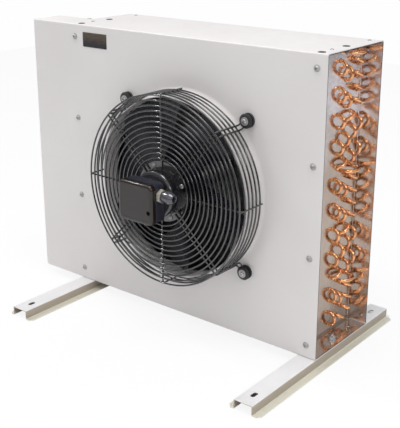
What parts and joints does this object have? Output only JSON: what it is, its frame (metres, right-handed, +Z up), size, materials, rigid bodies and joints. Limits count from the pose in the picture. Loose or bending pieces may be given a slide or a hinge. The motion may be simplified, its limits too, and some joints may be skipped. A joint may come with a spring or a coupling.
{
  "type": "air-cooled condenser",
  "caption": "Air-cooled condenser: finned tube coil in a white folded casing, one axial fan in a black wire guard, on two slotted foot rails.",
  "frame": {"origin": "under the middle of the whole part, on the surface that the rails stand on", "axes": "+X along the front to the coil's bare end, +Y to the back, +Z up"},
  "size_m": [0.754, 0.485, 0.597],
  "materials": {
    "white_paint": "white powder coat, satin",
    "galvanised": "bright galvanised sheet",
    "fins": "plain aluminium fins",
    "copper": "bare copper tube",
    "zinc": "zinc plated",
    "black_wire": "gloss black coat",
    "motor_black": "black paint, semi-gloss",
    "motor_cast": "black painted casting",
    "rubber": "black rubber",
    "box_plastic": "dark brown-black plastic",
    "grey_plastic": "grey plastic",
    "plate_dark": "dark blank plate",
    "blade_paint": "dark bluish coat",
    "steel": "machined steel",
    "winding": "enamelled copper wire"
  },
  "bodies": {
    "condenser": {"front_cover": "white_paint", "nameplate_blank": "plate_dark", "tube_sheet_left": "galvanised", "tube_sheet_right": "galvanised", "coil_top_plate": "galvanised", "coil_bottom_plate": "galvanised", "fin_block": "fins", "right_crossing_bends": "copper", "right_wide_bends": "copper", "right_bends_row_1": "copper", "right_bends_row_2": "copper", "right_bends_row_3": "copper", "right_bends_row_4": "copper", "left_bends_front": "copper", "left_bends_rear": "copper", "gas_header": "copper", "liquid_header": "copper", "header_caps": "copper", "gas_feeders": "copper", "liquid_feeders": "copper", "gas_stub": "copper", "liquid_stub": "copper", "rail_left": "galvanised", "rail_right": "galvanised", "rail_bolts": "zinc", "rail_nuts": "zinc", "front_screws": "zinc", "top_screws": "zinc", "guard_front_rings": "black_wire", "guard_side_rings": "black_wire", "guard_spokes": "black_wire", "guard_legs": "black_wire", "dampers": "rubber", "damper_washers": "zinc", "damper_screws": "zinc", "damper_nuts": "zinc", "motor_plate": "black_wire", "motor_screws": "zinc", "motor_flange": "motor_cast", "bearing_front": "steel", "bearing_rear": "steel", "stator_stack": "steel", "stator_windings": "winding", "terminal_box_base": "box_plastic", "terminal_box_seal": "rubber", "terminal_box_lid": "box_plastic", "terminal_block": "grey_plastic", "lid_screw": "zinc", "cable_gland": "grey_plastic", "gland_nut": "grey_plastic", "gland_lock_nut": "grey_plastic"},
    "rotor": {"rotor_can": "motor_black", "rotor_cage": "steel", "rotor_shaft": "steel", "fan_hub": "blade_paint", "fan_blades": "blade_paint"}
  },
  "joints": [
    {"name": "fan_spin", "type": "hinge", "parent": "condenser", "child": "rotor", "pos_m": [0.052, -0.072, 0.3075], "axis": [0, 1, 0], "continuous": true}
  ]
}
